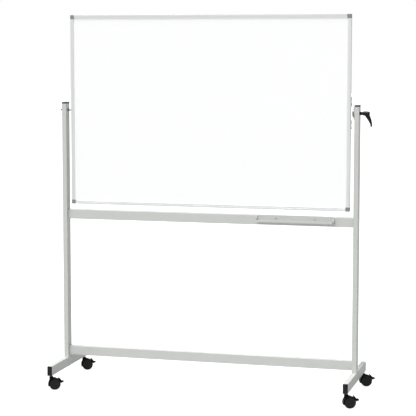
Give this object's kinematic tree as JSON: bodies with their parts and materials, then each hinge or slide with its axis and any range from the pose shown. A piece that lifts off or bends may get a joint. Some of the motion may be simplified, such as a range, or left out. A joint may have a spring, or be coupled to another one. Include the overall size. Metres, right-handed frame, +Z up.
{
  "type": "rolling whiteboard",
  "caption": "Free-standing revolving whiteboard: a framed double-sided board turns between two posts on braked casters and is held by a clamping lever.",
  "frame": {"origin": "centre of the overall box on the floor, between the four casters; the stand's own centre line is 24 mm to the left of it, because the lever makes the right side longer", "axes": "+X along the board to the right, +Y to the rear, +Z up"},
  "size_m": [1.6704, 0.5692, 1.9595],
  "materials": {
    "grey_paint": "satin warm grey powder coat",
    "black_plastic": "black moulded plastic",
    "dark_plastic": "dark grey moulded plastic",
    "grey_plastic": "grey moulded plastic",
    "tray_plastic": "smooth grey moulded plastic",
    "aluminium": "anodised, satin",
    "white_enamel": "glossy white enamelled steel",
    "core_board": "fibre board",
    "nylon": "natural nylon",
    "zinc": "zinc plated steel",
    "friction_fibre": "friction fibre",
    "wheel_nylon": "black nylon"
  },
  "bodies": {
    "stand": {"post_left": "grey_paint", "post_right": "grey_paint", "foot_rail_left": "grey_paint", "foot_rail_right": "grey_paint", "crossbar_upper": "grey_paint", "crossbar_lower": "grey_paint", "post_cap_left": "dark_plastic", "post_cap_right": "dark_plastic", "rail_cap_left_front": "black_plastic", "rail_cap_left_rear": "black_plastic", "rail_cap_right_front": "black_plastic", "rail_cap_right_rear": "black_plastic", "pen_tray": "tray_plastic", "post_bolt_left": "zinc", "post_bolt_right": "zinc", "pivot_pin": "zinc", "pivot_nut": "zinc", "friction_washer": "friction_fibre", "caster_front_left_stem": "zinc", "caster_rear_left_stem": "zinc", "caster_front_right_stem": "zinc", "caster_rear_right_stem": "zinc"},
    "board": {"sheet_front": "white_enamel", "board_core": "core_board", "sheet_rear": "white_enamel", "edge_top": "aluminium", "edge_bottom": "aluminium", "edge_left": "aluminium", "edge_right": "aluminium", "corner_top_left": "grey_plastic", "corner_top_right": "grey_plastic", "corner_bottom_left": "grey_plastic", "corner_bottom_right": "grey_plastic", "pivot_bush": "nylon", "pivot_bracket": "grey_paint", "clamp_bolt": "zinc"},
    "clamp_insert": {"clamp_insert": "black_plastic", "clamp_screw": "zinc"},
    "clamp_handle": {"clamp_handle": "black_plastic"},
    "caster_front_left_swivel": {"caster_front_left_housing": "black_plastic", "caster_front_left_axle": "zinc"},
    "caster_front_left_wheel_front": {"caster_front_left_wheel_front": "wheel_nylon"},
    "caster_front_left_wheel_rear": {"caster_front_left_wheel_rear": "wheel_nylon"},
    "caster_front_left_pedal": {"caster_front_left_pedal": "black_plastic"},
    "caster_rear_left_swivel": {"caster_rear_left_housing": "black_plastic", "caster_rear_left_axle": "zinc"},
    "caster_rear_left_wheel_front": {"caster_rear_left_wheel_front": "wheel_nylon"},
    "caster_rear_left_wheel_rear": {"caster_rear_left_wheel_rear": "wheel_nylon"},
    "caster_rear_left_pedal": {"caster_rear_left_pedal": "black_plastic"},
    "caster_front_right_swivel": {"caster_front_right_housing": "black_plastic", "caster_front_right_axle": "zinc"},
    "caster_front_right_wheel_front": {"caster_front_right_wheel_front": "wheel_nylon"},
    "caster_front_right_wheel_rear": {"caster_front_right_wheel_rear": "wheel_nylon"},
    "caster_front_right_pedal": {"caster_front_right_pedal": "black_plastic"},
    "caster_rear_right_swivel": {"caster_rear_right_housing": "black_plastic", "caster_rear_right_axle": "zinc"},
    "caster_rear_right_wheel_front": {"caster_rear_right_wheel_front": "wheel_nylon"},
    "caster_rear_right_wheel_rear": {"caster_rear_right_wheel_rear": "wheel_nylon"},
    "caster_rear_right_pedal": {"caster_rear_right_pedal": "black_plastic"}
  },
  "joints": [
    {"name": "board_turn", "type": "hinge", "parent": "stand", "child": "board", "pos_m": [-0.024, 0, 1.4595], "axis": [1, 0, 0], "continuous": true},
    {"name": "clamp_turn", "type": "hinge", "parent": "board", "child": "clamp_insert", "pos_m": [0.776, 0, 1.4595], "axis": [1, 0, 0], "range_deg": [0, 270]},
    {"name": "handle_lift", "type": "slide", "parent": "clamp_insert", "child": "clamp_handle", "axis": [1, 0, 0], "range_m": [0, 0.004], "stiffness_N_per_m": 1500, "springref_m": -0.003},
    {"name": "caster_front_left_swivel", "type": "hinge", "parent": "stand", "child": "caster_front_left_swivel", "pos_m": [-0.808, -0.254, 0.06], "axis": [0, 0, 1], "continuous": true},
    {"name": "caster_front_left_wheel_front_spin", "type": "hinge", "parent": "caster_front_left_swivel", "child": "caster_front_left_wheel_front", "pos_m": [-0.79062, -0.24767, 0.03], "axis": [-0.342, 0.9397, 0], "continuous": true},
    {"name": "caster_front_left_wheel_rear_spin", "type": "hinge", "parent": "caster_front_left_swivel", "child": "caster_front_left_wheel_rear", "pos_m": [-0.79062, -0.24767, 0.03], "axis": [-0.342, 0.9397, 0], "continuous": true},
    {"name": "caster_front_left_brake", "type": "hinge", "parent": "caster_front_left_swivel", "child": "caster_front_left_pedal", "pos_m": [-0.7737, -0.24152, 0.0465], "axis": [-0.342, 0.9397, 0], "range_deg": [0, 6]},
    {"name": "caster_rear_left_swivel", "type": "hinge", "parent": "stand", "child": "caster_rear_left_swivel", "pos_m": [-0.808, 0.254, 0.06], "axis": [0, 0, 1], "continuous": true},
    {"name": "caster_rear_left_wheel_front_spin", "type": "hinge", "parent": "caster_rear_left_swivel", "child": "caster_rear_left_wheel_front", "pos_m": [-0.79062, 0.26033, 0.03], "axis": [-0.342, 0.9397, 0], "continuous": true},
    {"name": "caster_rear_left_wheel_rear_spin", "type": "hinge", "parent": "caster_rear_left_swivel", "child": "caster_rear_left_wheel_rear", "pos_m": [-0.79062, 0.26033, 0.03], "axis": [-0.342, 0.9397, 0], "continuous": true},
    {"name": "caster_rear_left_brake", "type": "hinge", "parent": "caster_rear_left_swivel", "child": "caster_rear_left_pedal", "pos_m": [-0.7737, 0.26648, 0.0465], "axis": [-0.342, 0.9397, 0], "range_deg": [0, 6]},
    {"name": "caster_front_right_swivel", "type": "hinge", "parent": "stand", "child": "caster_front_right_swivel", "pos_m": [0.76, -0.254, 0.06], "axis": [0, 0, 1], "continuous": true},
    {"name": "caster_front_right_wheel_front_spin", "type": "hinge", "parent": "caster_front_right_swivel", "child": "caster_front_right_wheel_front", "pos_m": [0.77738, -0.24767, 0.03], "axis": [-0.342, 0.9397, 0], "continuous": true},
    {"name": "caster_front_right_wheel_rear_spin", "type": "hinge", "parent": "caster_front_right_swivel", "child": "caster_front_right_wheel_rear", "pos_m": [0.77738, -0.24767, 0.03], "axis": [-0.342, 0.9397, 0], "continuous": true},
    {"name": "caster_front_right_brake", "type": "hinge", "parent": "caster_front_right_swivel", "child": "caster_front_right_pedal", "pos_m": [0.7943, -0.24152, 0.0465], "axis": [-0.342, 0.9397, 0], "range_deg": [0, 6]},
    {"name": "caster_rear_right_swivel", "type": "hinge", "parent": "stand", "child": "caster_rear_right_swivel", "pos_m": [0.76, 0.254, 0.06], "axis": [0, 0, 1], "continuous": true},
    {"name": "caster_rear_right_wheel_front_spin", "type": "hinge", "parent": "caster_rear_right_swivel", "child": "caster_rear_right_wheel_front", "pos_m": [0.77738, 0.26033, 0.03], "axis": [-0.342, 0.9397, 0], "continuous": true},
    {"name": "caster_rear_right_wheel_rear_spin", "type": "hinge", "parent": "caster_rear_right_swivel", "child": "caster_rear_right_wheel_rear", "pos_m": [0.77738, 0.26033, 0.03], "axis": [-0.342, 0.9397, 0], "continuous": true},
    {"name": "caster_rear_right_brake", "type": "hinge", "parent": "caster_rear_right_swivel", "child": "caster_rear_right_pedal", "pos_m": [0.7943, 0.26648, 0.0465], "axis": [-0.342, 0.9397, 0], "range_deg": [0, 6]}
  ]
}
